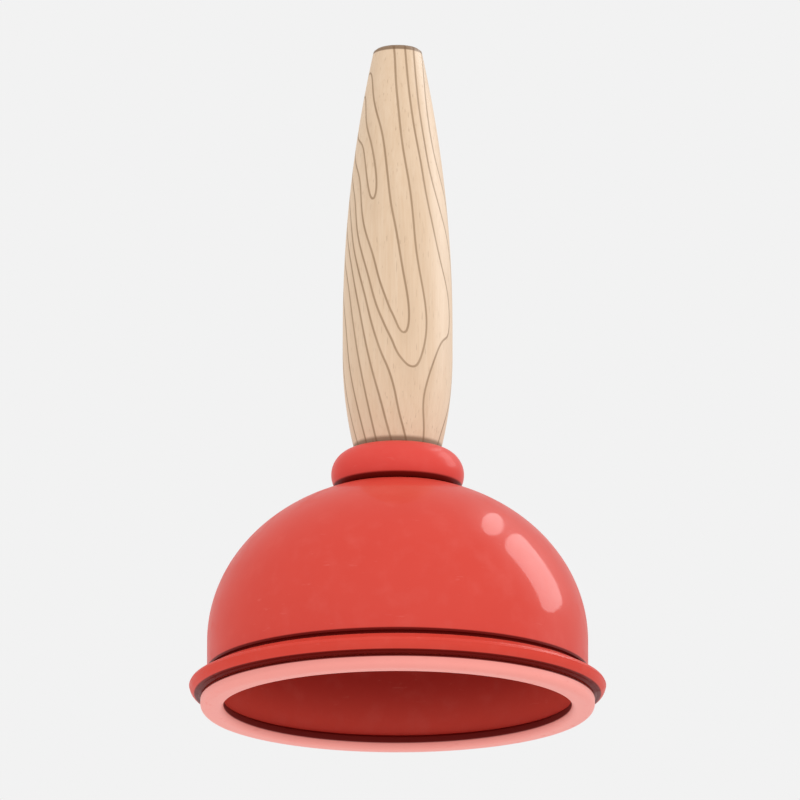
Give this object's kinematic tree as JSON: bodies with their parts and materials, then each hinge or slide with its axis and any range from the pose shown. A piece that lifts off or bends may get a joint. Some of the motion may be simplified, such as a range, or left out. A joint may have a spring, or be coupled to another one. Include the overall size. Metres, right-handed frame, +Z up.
{
  "type": "hand plunger",
  "caption": "Short-handled plunger: a rubber suction cup with a soft sealing lip and neck collar on a turned wooden handle, held by a washer and wood screw.",
  "frame": {"origin": "middle of the sealing face under the lip, on the surface the plunger stands on", "axes": "+Z up the handle; the object is round about Z, except for the screw's recess and thread"},
  "size_m": [0.14, 0.14, 0.2299],
  "materials": {
    "cup_rubber": "smooth moulded red rubber, slightly glossy",
    "lip_rubber": "soft pink rubber, satin",
    "handle_wood": "turned pale hardwood with open grain lines, satin lacquer",
    "zinc_steel": "bright zinc plating"
  },
  "bodies": {
    "cup_body": {"cup_dome": "cup_rubber", "sealing_lip": "lip_rubber"},
    "neck_body": {"neck_collar": "cup_rubber"},
    "handle_body": {"handle": "handle_wood", "backing_washer": "zinc_steel", "fixing_screw": "zinc_steel"}
  },
  "joints": [
    {"name": "plunge_stroke", "type": "slide", "parent": "cup_body", "child": "neck_body", "axis": [0, 0, -1], "range_m": [-0.006, 0.03], "stiffness_N_per_m": 2000, "deforming": ["cup_dome"]},
    {"name": "handle_lean", "type": "hinge", "parent": "neck_body", "child": "handle_body", "pos_m": [0, 0, 0.0735], "axis": [0, 1, 0], "range_deg": [-8, 8], "stiffness_Nm_per_rad": 8, "deforming": ["neck_collar"]}
  ]
}
